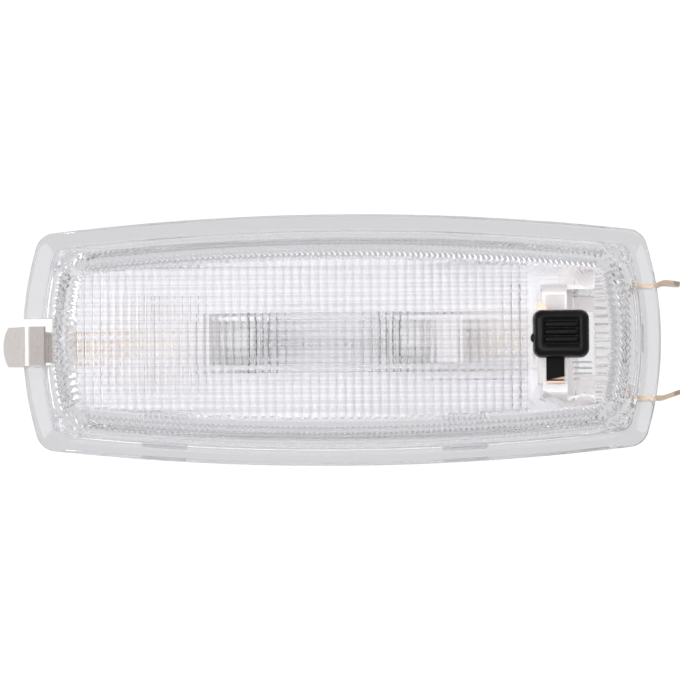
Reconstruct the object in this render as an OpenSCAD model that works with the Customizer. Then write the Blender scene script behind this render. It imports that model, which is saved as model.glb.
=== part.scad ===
// Car interior light: a clear ribbed lens body that snaps into a roof panel, with a
// festoon bulb, a sheet reflector, a slide switch and two blade terminals behind it.
// It lies on its back with the lens up. X runs from the spring clip to the terminals.

/* [Lens body] */
// Length of the flange, end to end
lamp_l = 114; // [112:0.5:116]
// Width of the flange at its middle
lamp_w = 45; // [44:0.5:46]
// How far each long side bows out over the flange's length
side_bow = 3.7; // [3:0.1:4.2]
// How far each end bows out over the flange's width
end_bow = 4.4; // [3.4:0.1:4.8]
// Corner radius of the flange
corner_r = 3.6; // [3:0.1:4]
// Height of the flange's back face, where the roof panel sits
seat_z = 9; // [8.8:0.1:9.4]
// Height of the lens face above the flange's back face
face_h = 9.5; // [9.3:0.1:9.8]
// Wall of the skirt that goes through the panel
skirt_wall = 1.4; // [1.2:0.1:1.6]
// Inset of the skirt from the flange's edge, at the ends
skirt_inset = 5.3; // [5.1:0.1:5.5]
// How much nearer the flange's edge the skirt stands along the sides
side_gain = 1.4; // [1:0.1:1.5]

/* [Lens optics] */
// Pitch of the flutes inside the lens face
flute_pitch = 1.55; // [1.4:0.05:2]
// Depth of those flutes
flute_depth = 0.3; // [0.2:0.05:0.45]
// Pitch of the fine grooves outside the lens face
groove_pitch = 1.55; // [1.4:0.05:2]
// Depth of the ribs on the lens's inner shoulder
rib_depth = 0.3; // [0.2:0.05:0.5]

/* [Switch] */
// Centre of the switch slot along the lamp
slot_x = 37.8; // [37.5:0.1:38]
// Width of the slot
slot_w = 3.4; // [3.3:0.1:3.6]
// Travel of the knob each way from its middle place
travel = 3; // [2.6:0.1:3.2]
// Size of the knob along and across the lamp
knob_size = [10, 8.5];
// Height of the knob above its recess
knob_h = 3.3; // [2.8:0.1:3.6]

/* [Bulb] */
// Length of the festoon bulb over its caps
bulb_l = 41; // [40.8:0.1:41.2]
// Diameter of the glass
glass_d = 10.5; // [9.8:0.1:10.6]
// Diameter of the caps
cap_d = 8.5; // [8.3:0.1:8.6]
// Centre of the bulb along the lamp
bulb_x = -3; // [-3.2:0.1:-2.8]
// Height of the bulb's axis
bulb_z = 7.2; // [7.1:0.1:7.6]

/* [Metal parts] */
// Thickness of the reflector sheet and of the spring clip
sheet_t = 0.5; // [0.4:0.05:0.5]
// Thickness of the contact strips
strip_t = 0.4; // [0.3:0.05:0.4]
// Thickness of the blade terminals
blade_t = 0.8; // [0.7:0.05:0.8]
// Width of the blade terminals
blade_w = 6.3; // [6.2:0.1:6.3]
// Place of the two blade terminals across the lamp
blade_y = [9.3, -10.6];
// Width of the spring clip's head and of its stem
clip_w = [7.5, 5.5];

/* [Hidden] */
$fn = 48;
eps = 0.01;

// Radii and centres of the arcs that bound the flange
side_r = (pow(lamp_l / 2, 2) + pow(side_bow, 2)) / (2 * side_bow);
end_r = (pow(lamp_w / 2, 2) + pow(end_bow, 2)) / (2 * end_bow);
side_c = [0, lamp_w / 2 - side_r];
end_c = [lamp_l / 2 - end_r, 0];

// Heights
face_z = seat_z + face_h;
flange_t = 2.3;
panel_gap = 2.1;
hook_z = seat_z - panel_gap;
face_wall = 1.7;
ceiling_z = face_z - face_wall;
recess_z = face_z - 0.6;
cavity_inset = skirt_inset + skirt_wall;
shoulder_r = 4.6;
shoulder_inset = 9.4;

// Switch recess in the lens face, left to right and bottom to top
recess = [[33.2, -11], [44.5, 10.8]];
slot_y = [-8.5, 7.4];
fluted_x = [-47.3, recess[0].x - 0.4];
end_fluted_x = [recess[1].x + 0.3, 48.4];
notch_x = -51.2;

// Reflector and what stands on it
reflector_end = 39.3;
plateau = [[-49.3, -9], [-27, 9]];
plateau_z = 0.7 + sheet_t;
tab_x = [-32, 22];
tab_w = 8;
tab_h = 6.4;
holder_x = [-39.5, -30.9];
holder_w = [16.6, 8.4];
clip_y = -0.7;
clip_rivet_x = -46;
holder_rivet_x = -35.2;
feed_rivet_x = 27;

// Switch contacts
pad_z = 10;
pad_x = [35.8, 40.2];
pad_gap_y = 3.6;
feed_pad_w = 3.2;
tongue_z = 2.4;
pillar = [[35.2, -8], [40.4, 8]];
base_start = reflector_end + 0.1;
base_floor = 1.2;
contact_hole_r = 2.2;
leaf_setback = 1.45;
knob_y = 0.45;
knob_x = 38.75;
carrier_y = [-3.5, 3.9];
tongue_y = [-7.6, 4.4];
tongue_half = 1.6;
carrier_half = 3.15;
guide_half = 3.3;
carrier_z = [14.4, 16.65];

function unit(v) = v / norm(v);
function turned(v) = [-v.y, v.x];
function heading(v) = atan2(v.y, v.x);
function polar(c, r, a) = c + r * [cos(a), sin(a)];
function arc(c, r, a0, a1, n) = [for (i = [0:n]) polar(c, r, a0 + (a1 - a0) * i / n)];
function backwards(list) = [for (i = [len(list) - 1:-1:0]) list[i]];

// Where two circles meet, on the left of the line from the first centre to the second
function meet(c0, r0, c1, r1) =
    let (d = norm(c1 - c0), u = (c1 - c0) / d, a = (r0 * r0 - r1 * r1 + d * d) / (2 * d))
    c0 + a * u + sqrt(r0 * r0 - a * a) * turned(u);

// An inset as it is along the sides, where the skirt and dome stand further out
function side_in(inset) = inset - side_gain * max(0, min(1, (inset - 2.7) / (skirt_inset - 2.7)));

// Points of the outline's first quarter, from the end's middle to the side's middle,
// without the last one. n gives the steps on the end, the corner and the side.
function quarter(inset, r, n) =
    let (
        s = side_in(inset),
        k = meet(end_c, end_r - inset - r, side_c, side_r - s - r),
        c = k.y > 0 ? k : meet(side_c, side_r - s - r, end_c, end_r - inset - r),
        a = heading(c - end_c),
        b = heading(c - side_c)
    )
    concat(
        [for (i = [0:n[0] - 1]) polar(end_c, end_r - inset, a * i / n[0])],
        [for (i = [0:n[1] - 1]) polar(c, r, a + (b - a) * i / n[1])],
        [for (i = [0:n[2] - 1]) polar(side_c, side_r - s, b + (90 - b) * i / n[2])]
    );

// The whole outline, counterclockwise, from its first quarter and the side's middle
function closed(q, top) =
    let (
        half = concat(q, [top], [for (i = [len(q) - 1:-1:1]) [-q[i].x, q[i].y]]),
        left = [-q[0].x, 0]
    )
    concat(half, [left], [for (i = [len(half) - 1:-1:1]) [half[i].x, -half[i].y]]);

function outline(inset, r = 2.2, n = [4, 4, 10]) =
    closed(quarter(inset, r, n), [0, lamp_w / 2 - side_in(inset)]);
function half_width(x, inset) = side_c.y + sqrt(pow(side_r - side_in(inset), 2) - x * x);
function half_length(y, inset) =
    min(
        end_c.x + sqrt(pow(end_r - inset, 2) - y * y),
        sqrt(pow(side_r - side_in(inset), 2) - pow(abs(y) - side_c.y, 2))
    );
function lifted(points, z) = [for (p = points) [p.x, p.y, z]];

// A bent strip: its path with rounded bends, and its section along that path
function bend(p, q, s, r, n) =
    let (
        u = unit(p - q),
        v = unit(s - q),
        half = acos(u * v) / 2,
        c = q + unit(u + v) * r / sin(half),
        a = heading(q + u * r / tan(half) - c),
        sweep = (cross(u, v) > 0 ? -1 : 1) * (180 - 2 * half)
    )
    arc(c, r, a, a + sweep, n);
function rounded(path, r, n = 5) =
    concat(
        [path[0]],
        [for (i = [1:len(path) - 2]) each bend(path[i - 1], path[i], path[i + 1], r, n)],
        [path[len(path) - 1]]
    );
function beside(path, off) = [
    for (i = [0:len(path) - 1])
        let (
            last = len(path) - 1,
            a = unit(path[max(i, 1)] - path[max(i, 1) - 1]),
            b = unit(path[min(i, last - 1) + 1] - path[min(i, last - 1)])
        )
        path[i] + off * turned(a + b) * 2 / pow(norm(a + b), 2)
];
function strip(path, t) = concat(beside(path, t / 2), backwards(beside(path, -t / 2)));

// Solid through a stack of outlines with the same number of points, lowest first
module loft(rings) {
    n = len(rings[0]);
    m = len(rings);
    sides = [
        for (j = [0:m - 2], i = [0:n - 1])
            let (a = j * n + i, b = j * n + (i + 1) % n)
            each [[a, a + n, b + n], [a, b + n, b]]
    ];
    foot = [for (i = [0:n - 1]) i];
    head = [for (i = [n - 1:-1:0]) (m - 1) * n + i];
    polyhedron([for (r = rings) each r], concat([foot], sides, [head]));
}

module slab(points, z0, z1) {
    translate([0, 0, z0]) linear_extrude(z1 - z0) polygon(points);
}

module block(low, high) {
    translate(low) cube(high - low);
}

// A section drawn in X and Z, carried w wide across the lamp
module across(w, y = 0) {
    translate([0, y + w / 2, 0]) rotate([90, 0, 0]) linear_extrude(w) children();
}

// A section drawn in Y and Z, carried along the lamp from x0 to x1
module along(x0, x1) {
    translate([x0, 0, 0]) rotate([90, 0, 90]) linear_extrude(x1 - x0) children();
}

// Puts its children on the skirt's outer face at x, with +Y pointing outwards
module on_side(x, side) {
    mirror([0, side < 0 ? 1 : 0, 0])
        translate([0, side_c.y, 0])
            rotate(-asin(x / (side_r - side_in(skirt_inset))))
                translate([0, side_r - side_in(skirt_inset), 0])
                    children();
}

// Outside of the flange and dome. Its section has a rounded edge, a foot and a shoulder.
module dome() {
    edge = arc([1.1, flange_t - 1.1], 1.1, 180, 90, 3);
    foot = arc([2.7, flange_t + 1], 0.8, -90, -35, 2);
    shoulder = arc([shoulder_inset, face_h - shoulder_r], shoulder_r, 160, 90, 5);
    section = concat([[0.4, 0.2]], edge, foot, shoulder);
    loft([for (p = section) lifted(outline(p[0], max(corner_r - p[0] / 3, 1.2)), seat_z + p[1])]);
}

// Room inside the shoulder in two steps, with upright ribs round its walls
module ribbed_shoulder() {
    steps = [20, 6, 95];
    for (level = [[cavity_inset + 0.6, 5, 6.9], [cavity_inset + 2.4, 6.8, face_h - face_wall]])
        let (
            out = outline(level[0], 1.5, steps),
            in = outline(level[0] + rib_depth, 1.5, steps),
            ribs = [for (i = [0:len(out) - 1]) i % 2 == 0 ? out[i] : in[i]]
        )
        slab(ribs, seat_z + level[1], seat_z + level[2]);
}

// Flutes across the ceiling of the lens, each a shallow arc
module flutes() {
    count = floor((fluted_x[1] - fluted_x[0]) / flute_pitch);
    chord_r = (pow(flute_pitch / 2, 2) + pow(flute_depth, 2)) / (2 * flute_depth);
    spread = asin(flute_pitch / 2 / chord_r);
    intersection() {
        slab(outline(cavity_inset + 3.1, 1.5), ceiling_z - 0.2, ceiling_z + 1);
        across(lamp_w)
            for (i = [0:count - 1])
                let (
                    x = fluted_x[0] + (i + 0.5) * flute_pitch,
                    crown = [x, ceiling_z + 0.05 + flute_depth - chord_r],
                    top = arc(crown, chord_r, 90 - spread, 90 + spread, 4)
                )
                polygon(concat(
                    top,
                    [[x - flute_pitch / 2, ceiling_z - 0.3], [x + flute_pitch / 2, ceiling_z - 0.3]]
                ));
    }
}

// Flutes that run along the lamp between the switch recess and the end
module end_flutes() {
    count = 7;
    chord_r = (pow(flute_pitch / 2, 2) + pow(flute_depth, 2)) / (2 * flute_depth);
    spread = asin(flute_pitch / 2 / chord_r);
    intersection() {
        slab(outline(cavity_inset + 3.1, 1.5), ceiling_z - 0.2, ceiling_z + 1);
        along(end_fluted_x[0], end_fluted_x[1])
            for (i = [-count:count])
                let (
                    y = i * flute_pitch,
                    crown = [y, ceiling_z + 0.05 + flute_depth - chord_r],
                    top = arc(crown, chord_r, 90 - spread, 90 + spread, 4)
                )
                polygon(concat(
                    top,
                    [[y - flute_pitch / 2, ceiling_z - 0.3], [y + flute_pitch / 2, ceiling_z - 0.3]]
                ));
    }
}

// Fine grooves along the outside of the lens face
module face_grooves() {
    count = 8;
    groove_r = 0.55;
    for (i = [-count:count])
        let (y = i * groove_pitch, x = min(-fluted_x[0], half_length(y, shoulder_inset + 0.6)))
        translate([-x, y, face_z + 0.43])
            rotate([0, 90, 0])
                cylinder(r = groove_r, h = x + fluted_x[1]);
}

// Lines beside the knob that mark its places
module position_marks() {
    mark_w = 0.3;
    for (y = [-7.55, -6.6, -5.6, -4.6, 7.35, 8])
        block([40.8, y - mark_w / 2, recess_z - 0.25], [44.2, y + mark_w / 2, recess_z + 1]);
}

// Two rails under the face that keep the switch carrier square, and a stop past its end
module carrier_guides() {
    rail = 0.8;
    block([slot_x - 1.6, 10.3, 14.6], [slot_x + 1.6, 10.7, ceiling_z + eps]);
    for (side = [-1, 1])
        let (x = slot_x + side * (guide_half + rail / 2))
        block([x - rail / 2, -10.4, 13.9], [x + rail / 2, 9, ceiling_z + eps]);
}

// Lugs on the skirt that catch the windows in the reflector's tabs
module tab_lugs() {
    for (x = tab_x, side = [-1, 1])
        on_side(x, side)
            translate([-2, 0, 0])
                rotate([90, 0, 90])
                    linear_extrude(4)
                        polygon([[-0.4, 3.3], [0.1, 3.3], [0.5, 4.5], [-0.4, 4.5]]);
}

// Lug that hooks behind the panel at the terminal end
module end_lug() {
    across(5)
        polygon([[50.8, 3.8], [51.6, 3.8], [53.4, 5.6], [53.4, hook_z], [50.8, hook_z]]);
}

module lens_body() {
    clip_slot_w = clip_w[1] + 0.5;
    color([0.93, 0.94, 0.96, 0.45])
        difference() {
            union() {
                slab(outline(0.4, corner_r - 0.2), seat_z, seat_z + 0.4);
                dome();
                slab(outline(skirt_inset, 2.2), sheet_t, seat_z + 0.2);
                tab_lugs();
                end_lug();
            }
            difference() {
                union() {
                    slab(outline(cavity_inset, 1.6), -1, seat_z + 5.25);
                    ribbed_shoulder();
                    flutes();
                    end_flutes();
                }
                carrier_guides();
            }
            face_grooves();
            block([recess[0].x, recess[0].y, recess_z], [recess[1].x, recess[1].y, face_z + 1]);
            position_marks();
            block([slot_x - slot_w / 2, slot_y[0], ceiling_z - 1], [slot_x + slot_w / 2, slot_y[1], face_z]);
            // notch in the flange over the spring clip
            block([-lamp_l, -4.2, seat_z - eps], [notch_x, 4.2, face_z]);
            // slot in the end wall for the clip's stem
            block([-54, clip_y - clip_slot_w / 2, 0], [-48, clip_y + clip_slot_w / 2, 2]);
            // slits for the blades, open towards the back
            for (y = blade_y)
                block([49, y - 0.6, 0], [53, y + 0.6, hook_z + 0.2]);
            // windows for the switch base's snaps
            for (side = [-1, 1])
                block([42.4, side * 14.6 - 2.4, 3.9], [47.6, side * 14.6 + 2.4, 5.7]);
        }
}

// Sheet reflector that closes the back, snapped on by four tabs
module reflector() {
    color([0.82, 0.83, 0.86])
        difference() {
            union() {
                slab(outline(skirt_inset, 2.2), 0, sheet_t);
                block([plateau[0].x, plateau[0].y, 0], [plateau[1].x, plateau[1].y, plateau_z]);
                for (x = tab_x, side = [-1, 1])
                    on_side(x, side) {
                        block([-tab_w / 2, -1.5, 0], [tab_w / 2, 0.05 + sheet_t, sheet_t]);
                        block([-tab_w / 2, 0.05, 0], [tab_w / 2, 0.05 + sheet_t, tab_h]);
                    }
                for (side = [-1, 1])
                    block([reflector_end - sheet_t, side * 13.6 - 0.7, 0], [reflector_end, side * 13.6 + 0.7, 2]);
            }
            block([reflector_end, -lamp_w, -1], [lamp_l, lamp_w, 10]);
            block(
                [plateau[0].x + sheet_t, plateau[0].y + sheet_t, -1],
                [plateau[1].x - sheet_t, plateau[1].y - sheet_t, plateau_z - sheet_t]
            );
            for (x = tab_x, side = [-1, 1])
                on_side(x, side)
                    block([-2.3, -0.2, 3.1], [2.3, 1, 4.7]);
            for (x = [clip_rivet_x, holder_rivet_x])
                translate([x, x == clip_rivet_x ? clip_y : 0, -1]) cylinder(r = 1.25, h = 4);
        }
}

// Sprung snap clip, one bent strip: foot, steep stem, crest and lead-in tongue
module spring_clip() {
    foot_z = plateau_z + sheet_t / 2;
    path = [[-43.4, foot_z], [-51.9, foot_z], [-53.5, 5.3], [-56.4, 6.85], [-60.75, 4.4]];
    head_x = -53.3;
    tip_r = 7.3;
    tip = arc([-60.9 + tip_r, 0], tip_r, 180 - 29, 180 + 29, 8);
    color([0.78, 0.76, 0.73])
        difference() {
            intersection() {
                across(clip_w[0], clip_y)
                    polygon(strip(rounded(path, 0.8), sheet_t));
                translate([0, clip_y, 0])
                    union() {
                        slab(
                            concat([[head_x, clip_w[0] / 2]], tip, [[head_x, -clip_w[0] / 2]]),
                            -1, 10
                        );
                        block([head_x - 1, -clip_w[1] / 2, -1], [-40, clip_w[1] / 2, 10]);
                    }
            }
            translate([clip_rivet_x, clip_y, -1]) cylinder(r = 1.25, h = 4);
        }
}

// Tubular rivet through a stack from z0 to z1
module rivet(x, y, z0, z1) {
    shank_r = 1.2;
    head_r = 2.1;
    head_h = 0.5;
    translate([x, y, 0])
        difference() {
            union() {
                translate([0, 0, z0 - head_h]) cylinder(r = head_r, h = head_h);
                translate([0, 0, z0 - eps]) cylinder(r = shank_r, h = z1 - z0 + 2 * eps);
                translate([0, 0, z1]) cylinder(r1 = head_r, r2 = head_r - 0.4, h = head_h);
            }
            translate([0, 0, z0]) cylinder(r = 0.7, h = z1 - z0 + 1);
        }
}

module clip_rivet() {
    color([0.75, 0.6, 0.35])
        rivet(clip_rivet_x, clip_y, plateau_z - sheet_t, plateau_z + sheet_t);
}

module holder_rivet() {
    color([0.75, 0.6, 0.35])
        rivet(holder_rivet_x, 0, plateau_z - sheet_t, plateau_z + strip_t);
}

module feed_rivet() {
    color([0.75, 0.6, 0.35])
        rivet(feed_rivet_x, 0, 1.3, tongue_z + strip_t);
}

// Hole in a contact leaf that takes the bulb's tip
module contact_hole(x) {
    translate([x - 1, 0, bulb_z]) rotate([0, 90, 0]) cylinder(r = contact_hole_r, h = 2);
}

// Earth strip: a plate with turned-up edges, a tongue and the bulb's left leaf
module earth_holder() {
    leaf_x = bulb_x - bulb_l / 2 + leaf_setback - strip_t / 2;
    z = plateau_z + strip_t / 2;
    path = [[holder_x[0] + 0.2, z], [leaf_x, z], [leaf_x, 12], [leaf_x - 1.8, 13.4]];
    rim = plateau_z + 2;
    color([0.72, 0.45, 0.28])
        difference() {
            union() {
                across(holder_w[1]) polygon(strip(rounded(path, 0.6), strip_t));
                block([holder_x[0], -holder_w[0] / 2, plateau_z], [holder_x[1], holder_w[0] / 2, plateau_z + strip_t]);
                block([holder_x[0], -holder_w[0] / 2, plateau_z], [holder_x[0] + strip_t, holder_w[0] / 2, rim]);
                for (side = [-1, 1])
                    block(
                        [holder_x[1] - strip_t, side * 6.35 - 1.95, plateau_z],
                        [holder_x[1], side * 6.35 + 1.95, rim]
                    );
            }
            contact_hole(leaf_x);
            translate([holder_rivet_x, 0, -1]) cylinder(r = 1.25, h = 4);
        }
}

// Insulating base at the terminal end, with the pillar under the switch contacts
module switch_base() {
    snap = [[-0.5, 0], [0, 0], [0, 4.1], [1.1, 4.1], [0, 5.5], [0, 6.4], [-1.2, 6.4], [-1.2, 0]];
    color([0.93, 0.88, 0.82])
        difference() {
            union() {
                intersection() {
                    slab(outline(cavity_inset + 0.15, 1.5), 0, base_floor);
                    block([base_start, -lamp_w, -1], [lamp_l, lamp_w, 5]);
                }
                block([17.6, -5, 0.6], [pillar[0].x + 1, 5, tongue_z]);
                block([pillar[0].x, pillar[0].y, 0.6], [pillar[1].x, pillar[1].y, pad_z - blade_t]);
                block([pillar[0].x, -1.8, 2], [pillar[1].x, 1.8, pad_z - strip_t]);
                for (y = blade_y)
                    block([42, y - 1.5, 0.5], [49.2, y + 1.5, 5.4]);
                for (side = [-1, 1])
                    mirror([0, side < 0 ? 1 : 0, 0])
                        translate([0, half_width(47.2, cavity_inset + 0.15), 0])
                            along(42.8, 47.2) polygon(snap);
            }
            for (y = blade_y)
                block([34, y - blade_t / 2 - 0.03, base_floor + 0.05], [51, y + blade_t / 2 + 0.03, 12]);
            // hollow of the pillar, open at the back
            block([pillar[0].x + 1.2, -6.6, 0], [pillar[1].x - 1.2, 6.6, 7.8]);
            // window in the floor
            block([42.6, -6.2, -1], [48.4, 5.2, 3]);
            // seat of the rivet's lower head
            translate([feed_rivet_x, 0, 0]) cylinder(r = 2.4, h = 1.3);
            translate([feed_rivet_x, 0, 0]) cylinder(r = 1.25, h = 4);
        }
}

// Feed strip: centre contact of the switch, drop, run along the tongue and right leaf
module feed_strip() {
    leaf_x = bulb_x + bulb_l / 2 - leaf_setback + strip_t / 2;
    top_z = pad_z - strip_t / 2;
    drop_x = pillar[0].x - strip_t / 2;
    run_z = tongue_z + strip_t / 2;
    path = [
        [pad_x[1], top_z], [drop_x, top_z], [drop_x, run_z],
        [leaf_x, run_z], [leaf_x, 13], [21.2, 13]
    ];
    color([0.78, 0.6, 0.36])
        difference() {
            intersection() {
                across(8) polygon(strip(rounded(path, 0.5), strip_t));
                union() {
                    block([0, -4, -1], [drop_x - 0.6, 4, 20]);
                    block([drop_x - 1, -feed_pad_w / 2, -1], [50, feed_pad_w / 2, 20]);
                }
            }
            contact_hole(leaf_x);
            translate([feed_rivet_x, 0, 0]) cylinder(r = 1.25, h = 4);
        }
}

// Blade terminal: an upright plate whose arm folds over as the switch contact.
// path is its plan, from the switch to the tip of the blade.
module blade_terminal(path) {
    y = path[0].y;
    side = y > 0 ? 1 : -1;
    blade_top = hook_z;
    blade_foot = hook_z - blade_w;
    tip = path[len(path) - 1].x;
    profile = [
        [pad_x[0], base_floor + 0.05], [52, base_floor + 0.05], [52, blade_foot], [tip - 1.2, blade_foot],
        [tip + 0.2, blade_foot + 1.4], [tip + 0.2, blade_top - 1.4], [tip - 1.2, blade_top],
        [pad_x[1], blade_top], [pad_x[1], 8.2], [pad_x[0], 8.2]
    ];
    fold = [[y, 7], [y, pad_z - blade_t / 2], [side * pad_gap_y, pad_z - blade_t / 2]];
    difference() {
        union() {
            intersection() {
                slab(strip(rounded(path, 2), blade_t), 0, 12);
                across(60) polygon(profile);
            }
            along(pad_x[0], pad_x[1]) polygon(strip(rounded(fold, 1), blade_t));
        }
        translate([tip - 3.2, y, (blade_top + blade_foot) / 2])
            rotate([90, 0, 0])
                cylinder(r = 0.85, h = 6, center = true);
    }
}

module live_terminal() {
    color([0.8, 0.6, 0.38])
        blade_terminal([[pad_x[0], blade_y[0]], [56, blade_y[0]], [57.9, 10.1], [60.8, 9.75]]);
}

module door_terminal() {
    color([0.8, 0.6, 0.38])
        blade_terminal([[pad_x[0], blade_y[1]], [57.6, blade_y[1] - 0.05], [60.7, -9.6]]);
}

// Turns a section drawn as distance along the bulb and radius about the bulb's axis
module about_bulb() {
    translate([bulb_x, 0, bulb_z]) rotate([0, 90, 0]) rotate_extrude() children();
}

// Glass tube with rounded shoulders and narrow necks inside the caps
module bulb_glass() {
    wall = 0.6;
    tube_r = glass_d / 2;
    neck_r = cap_d / 2 - 0.35;
    tube_half = 13;
    round = tube_r - neck_r;
    outer = concat(
        [[neck_r, -15.4]],
        [[neck_r, -tube_half - 0.2]],
        arc([tube_r - round, -tube_half + round], round, -90, 0, 5),
        arc([tube_r - round, tube_half - round], round, 0, 90, 5),
        [[neck_r, tube_half + 0.2]],
        [[neck_r, 15.4]]
    );
    inner = [
        [neck_r - wall, 15.4], [neck_r - wall, tube_half - round],
        [tube_r - wall, tube_half - round - 0.8], [tube_r - wall, -tube_half + round + 0.8],
        [neck_r - wall, -tube_half + round], [neck_r - wall, -15.4]
    ];
    color([0.95, 0.96, 0.98, 0.4])
        about_bulb() polygon(concat(outer, inner));
}

// Metal cap with a conical tip, made for the right end
module bulb_cap() {
    cap_r = cap_d / 2;
    about_bulb()
        polygon([
            [cap_r - 0.25, 13.2], [cap_r, 13.2], [cap_r, 16.2], [cap_r - 0.3, 16.6], [1.3, bulb_l / 2 - 0.3],
            [1, bulb_l / 2], [0, bulb_l / 2], [0, 16], [cap_r - 0.25, 16]
        ]);
}

module bulb_cap_right() {
    color([0.8, 0.8, 0.8]) bulb_cap();
}

module bulb_cap_left() {
    color([0.8, 0.8, 0.8])
        translate([2 * bulb_x, 0, 0]) mirror([1, 0, 0]) bulb_cap();
}

filament_half = 7;
coil_r = 0.55;
wire_r = 0.13;

// Straight lead from the cap's inside to the filament, on one side of the bulb
module lead_wire(side) {
    from = side > 0 ? filament_half + 0.4 : -16;
    translate([bulb_x + from, 0, bulb_z])
        rotate([0, 90, 0])
            cylinder(r = 0.25, h = 16 - filament_half - 0.4);
}

module lead_wire_left() {
    color([0.7, 0.7, 0.7]) lead_wire(-1);
}

module lead_wire_right() {
    color([0.7, 0.7, 0.7]) lead_wire(1);
}

// Coiled filament between the two leads
module bulb_filament() {
    turns = 9;
    steps = 8;
    count = turns * steps;
    rings = [
        for (i = [0:count])
            let (
                a = 360 * i / steps,
                x = -filament_half + 2 * filament_half * i / count,
                c = [x, coil_r * cos(a), coil_r * sin(a)]
            )
            [for (k = [0:5]) c + wire_r * (cos(60 * k) * [1, 0, 0] + sin(60 * k) * [0, cos(a), sin(a)])]
    ];
    color([0.35, 0.35, 0.37])
        translate([bulb_x, 0, bulb_z]) union() {
            loft(rings);
            for (side = [-1, 1])
                translate([side * (filament_half + (side > 0 ? 0 : 0.4)), 0, 0])
                    rotate([0, 90, 0]) cylinder(r = coil_r + wire_r, h = 0.4);
        }
}

// Knob: a rounded cap with a sunk grip, and the stem that goes through the slot
module switch_knob() {
    foot_z = recess_z + 0.1;
    top_z = recess_z + knob_h;
    centre = [knob_x, knob_y];
    r = 1.4;
    top_r = 0.9;
    spread = [knob_size.x / 2 - r, knob_size.y / 2 - r];
    ridge_r = 0.45;
    color([0.07, 0.07, 0.08]) {
        difference() {
            union() {
                hull()
                    for (sx = [-1, 1], sy = [-1, 1])
                        translate([centre.x + sx * spread.x, centre.y + sy * spread.y, 0]) {
                            translate([0, 0, foot_z]) cylinder(r = r, h = 1.4, $fn = 32);
                            translate([-sx * 0.35, -sy * 0.35, top_z - top_r]) sphere(r = top_r, $fn = 32);
                        }
                translate([centre.x - knob_size.x / 2 - 0.4, centre.y - 0.7, foot_z + 1])
                    rotate([0, 90, 0]) cylinder(r = 0.75, h = 1);
            }
            block([centre.x - 3.2, centre.y - 2.6, top_z - 0.55], [centre.x + 3.2, centre.y + 2.6, top_z + 1]);
        }
        for (i = [-1:1])
            translate([centre.x - 2.8, centre.y + i * 1.35, top_z - 0.5])
                rotate([0, 90, 0]) cylinder(r = ridge_r, h = 5.6);
        block([slot_x - 1.2, -2.8, carrier_z[0] + 1], [slot_x + 1.2, 2.8, foot_z + 0.3]);
    }
}

// Carrier under the lens face: a block between the guides, a narrow tongue along the
// slot, and a pocket for the knob's stem
module switch_carrier() {
    play = 0.04;
    color([0.1, 0.1, 0.11])
        difference() {
            union() {
                block([slot_x - carrier_half, carrier_y[0], carrier_z[0]], [slot_x + carrier_half, carrier_y[1], carrier_z[1]]);
                slab(
                    [
                        [slot_x - tongue_half, tongue_y[0]], [slot_x + tongue_half, tongue_y[0] + 0.6],
                        [slot_x + tongue_half, tongue_y[1]], [slot_x - tongue_half, tongue_y[1]]
                    ],
                    carrier_z[0], carrier_z[1]
                );
                for (y = [-2.8, 3])
                    translate([slot_x - carrier_half, y, carrier_z[0]]) cylinder(r = 0.1, h = 2);
            }
            block([slot_x - 1.2 - play, -2.8 - play, carrier_z[0] + 1 - play], [slot_x + 1.2 + play, 2.8 + play, 20]);
        }
}

// Sprung moving contact under the carrier, with two humps that bridge the fixed pads.
// One end turns up behind the tongue, the other has an ear cut to a point.
module bridge_contact() {
    t = 0.3;
    low = pad_z + 0.04 + t / 2;
    hump = 1.5;
    flat_z = carrier_z[0] - t / 2;
    path = [
        [-7.95, 15.8], [-7.95, flat_z], [-4, flat_z], [-hump, low - 0.19], [0, low + 0.8],
        [hump, low - 0.19], [3.4, flat_z], [6.5, flat_z]
    ];
    color([0.8, 0.5, 0.3])
        intersection() {
            along(slot_x - 4, slot_x + 4) polygon(strip(rounded(path, 0.5), t));
            union() {
                block([slot_x - tongue_half, -9, 12], [slot_x + tongue_half, 4.2, 17]);
                block([slot_x - 1.4, -6, 9], [slot_x + 1.4, 6, 13]);
                slab(
                    [
                        [slot_x - 3.1, 4.0], [slot_x + 0.4, 4.0], [slot_x + 0.4, 4.5], [slot_x - 0.8, 4.9],
                        [slot_x - 2.5, 6.35], [slot_x - 3.1, 6.3]
                    ],
                    13, 17
                );
            }
        }
}

lens_body();
reflector();
spring_clip();
clip_rivet();
earth_holder();
holder_rivet();
switch_base();
feed_strip();
feed_rivet();
live_terminal();
door_terminal();
bulb_glass();
bulb_cap_left();
bulb_cap_right();
lead_wire_left();
lead_wire_right();
bulb_filament();
switch_knob();
switch_carrier();
bridge_contact();
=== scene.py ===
"""Studio scene of a snap-in car interior light, seen from above as in the photograph."""

import logging
import math
from collections.abc import Callable
from dataclasses import dataclass, field
from enum import Enum

import bmesh
import bpy
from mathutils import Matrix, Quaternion, Vector
from mathutils.geometry import delaunay_2d_cdt


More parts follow.
